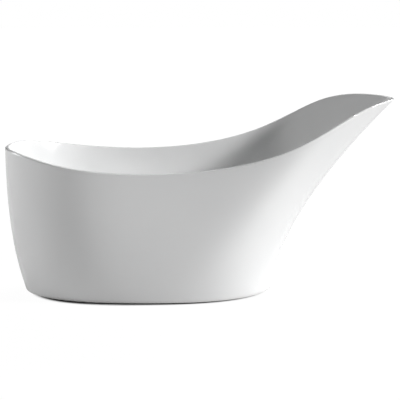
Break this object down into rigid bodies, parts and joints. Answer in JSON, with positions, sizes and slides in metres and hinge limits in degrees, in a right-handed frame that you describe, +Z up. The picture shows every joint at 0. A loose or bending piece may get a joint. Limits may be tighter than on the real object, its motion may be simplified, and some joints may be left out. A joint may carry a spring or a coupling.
{
  "type": "freestanding bathtub",
  "caption": "White double-skin freestanding slipper bathtub with one high swept back, thin rim, pop-up waste, overflow and levelling feet.",
  "frame": {"origin": "on the floor, below the middle of the tub's overall length and width", "axes": "+X along the length towards the high back, +Y across the tub, which is the same on both sides of the XZ plane, +Z up"},
  "size_m": [1.8, 0.89, 0.8901],
  "materials": {
    "acrylic": "polished white acrylic",
    "bond": "cured filled adhesive, polished flush",
    "plywood": "raw birch plywood",
    "timber": "planed softwood",
    "black_plastic": "moulded",
    "zinc_screw": "zinc plated",
    "galvanised_steel": "galvanised",
    "stainless_steel": "bright",
    "spring_steel": "drawn wire",
    "chrome": "polished chrome plate",
    "brass": "machined",
    "rubber": "moulded",
    "white_plastic": "moulded",
    "hose_plastic": "flexible ribbed hose"
  },
  "bodies": {
    "root": {"inner_shell": "acrylic", "outer_shell": "acrylic", "rim_bond": "bond", "base_board": "plywood", "rail_near": "galvanised_steel", "rail_far": "galvanised_steel", "cross_member_foot": "galvanised_steel", "cross_member_middle": "galvanised_steel", "cross_member_back": "galvanised_steel", "tube_end_caps": "black_plastic", "frame_screws": "zinc_screw", "skirt_blocks": "timber", "skirt_brackets": "galvanised_steel", "bracket_screws": "zinc_screw", "back_rib_near": "plywood", "back_rib_far": "plywood", "weld_nuts": "galvanised_steel", "lock_nuts": "galvanised_steel", "waste_flange": "chrome", "waste_gasket_upper": "rubber", "waste_gasket_lower": "rubber", "waste_backnut": "brass", "waste_cartridge": "brass", "cartridge_spring": "spring_steel", "waste_tee": "white_plastic", "outlet_tail": "white_plastic", "outlet_nut": "white_plastic", "overflow_gasket_front": "rubber", "overflow_gasket_back": "rubber", "overflow_elbow": "white_plastic", "overflow_strainer": "stainless_steel", "overflow_screw": "stainless_steel", "overflow_cover": "chrome", "overflow_hose": "hose_plastic", "hose_clamps": "stainless_steel"},
    "cap": {"waste_cap": "chrome", "cap_seal": "rubber"},
    "foot_1": {"foot_pad_1": "black_plastic"},
    "stud_1": {"foot_stud_1": "galvanised_steel"},
    "foot_2": {"foot_pad_2": "black_plastic"},
    "stud_2": {"foot_stud_2": "galvanised_steel"},
    "foot_3": {"foot_pad_3": "black_plastic"},
    "stud_3": {"foot_stud_3": "galvanised_steel"},
    "foot_4": {"foot_pad_4": "black_plastic"},
    "stud_4": {"foot_stud_4": "galvanised_steel"},
    "foot_5": {"foot_pad_5": "black_plastic"},
    "stud_5": {"foot_stud_5": "galvanised_steel"}
  },
  "joints": [
    {"name": "waste_cap_lift", "type": "slide", "parent": "root", "child": "cap", "axis": [0, 0, 1], "range_m": [0, 0.009], "deforming": ["cartridge_spring"]},
    {"name": "foot_1_height", "type": "slide", "parent": "root", "child": "foot_1", "axis": [0, 0, -1], "range_m": [-0.0035, 0.0105]},
    {"name": "foot_1_turn", "type": "hinge", "parent": "foot_1", "child": "stud_1", "pos_m": [-0.64, -0.172, 0.05], "axis": [0, 0, -1], "range_deg": [-720, 2160]},
    {"name": "foot_2_height", "type": "slide", "parent": "root", "child": "foot_2", "axis": [0, 0, -1], "range_m": [-0.0035, 0.0105]},
    {"name": "foot_2_turn", "type": "hinge", "parent": "foot_2", "child": "stud_2", "pos_m": [-0.64, 0.172, 0.05], "axis": [0, 0, -1], "range_deg": [-720, 2160]},
    {"name": "foot_3_height", "type": "slide", "parent": "root", "child": "foot_3", "axis": [0, 0, -1], "range_m": [-0.0035, 0.0105]},
    {"name": "foot_3_turn", "type": "hinge", "parent": "foot_3", "child": "stud_3", "pos_m": [-0.22, 0, 0.05], "axis": [0, 0, -1], "range_deg": [-720, 2160]},
    {"name": "foot_4_height", "type": "slide", "parent": "root", "child": "foot_4", "axis": [0, 0, -1], "range_m": [-0.0035, 0.0105]},
    {"name": "foot_4_turn", "type": "hinge", "parent": "foot_4", "child": "stud_4", "pos_m": [0.15, -0.172, 0.05], "axis": [0, 0, -1], "range_deg": [-720, 2160]},
    {"name": "foot_5_height", "type": "slide", "parent": "root", "child": "foot_5", "axis": [0, 0, -1], "range_m": [-0.0035, 0.0105]},
    {"name": "foot_5_turn", "type": "hinge", "parent": "foot_5", "child": "stud_5", "pos_m": [0.15, 0.172, 0.05], "axis": [0, 0, -1], "range_deg": [-720, 2160]}
  ],
  "couplings": [
    {"joint": "foot_1_turn", "follows": "foot_1_height", "rad_per_m": 3590.4},
    {"joint": "foot_2_turn", "follows": "foot_2_height", "rad_per_m": 3590.4},
    {"joint": "foot_3_turn", "follows": "foot_3_height", "rad_per_m": 3590.4},
    {"joint": "foot_4_turn", "follows": "foot_4_height", "rad_per_m": 3590.4},
    {"joint": "foot_5_turn", "follows": "foot_5_height", "rad_per_m": 3590.4}
  ]
}
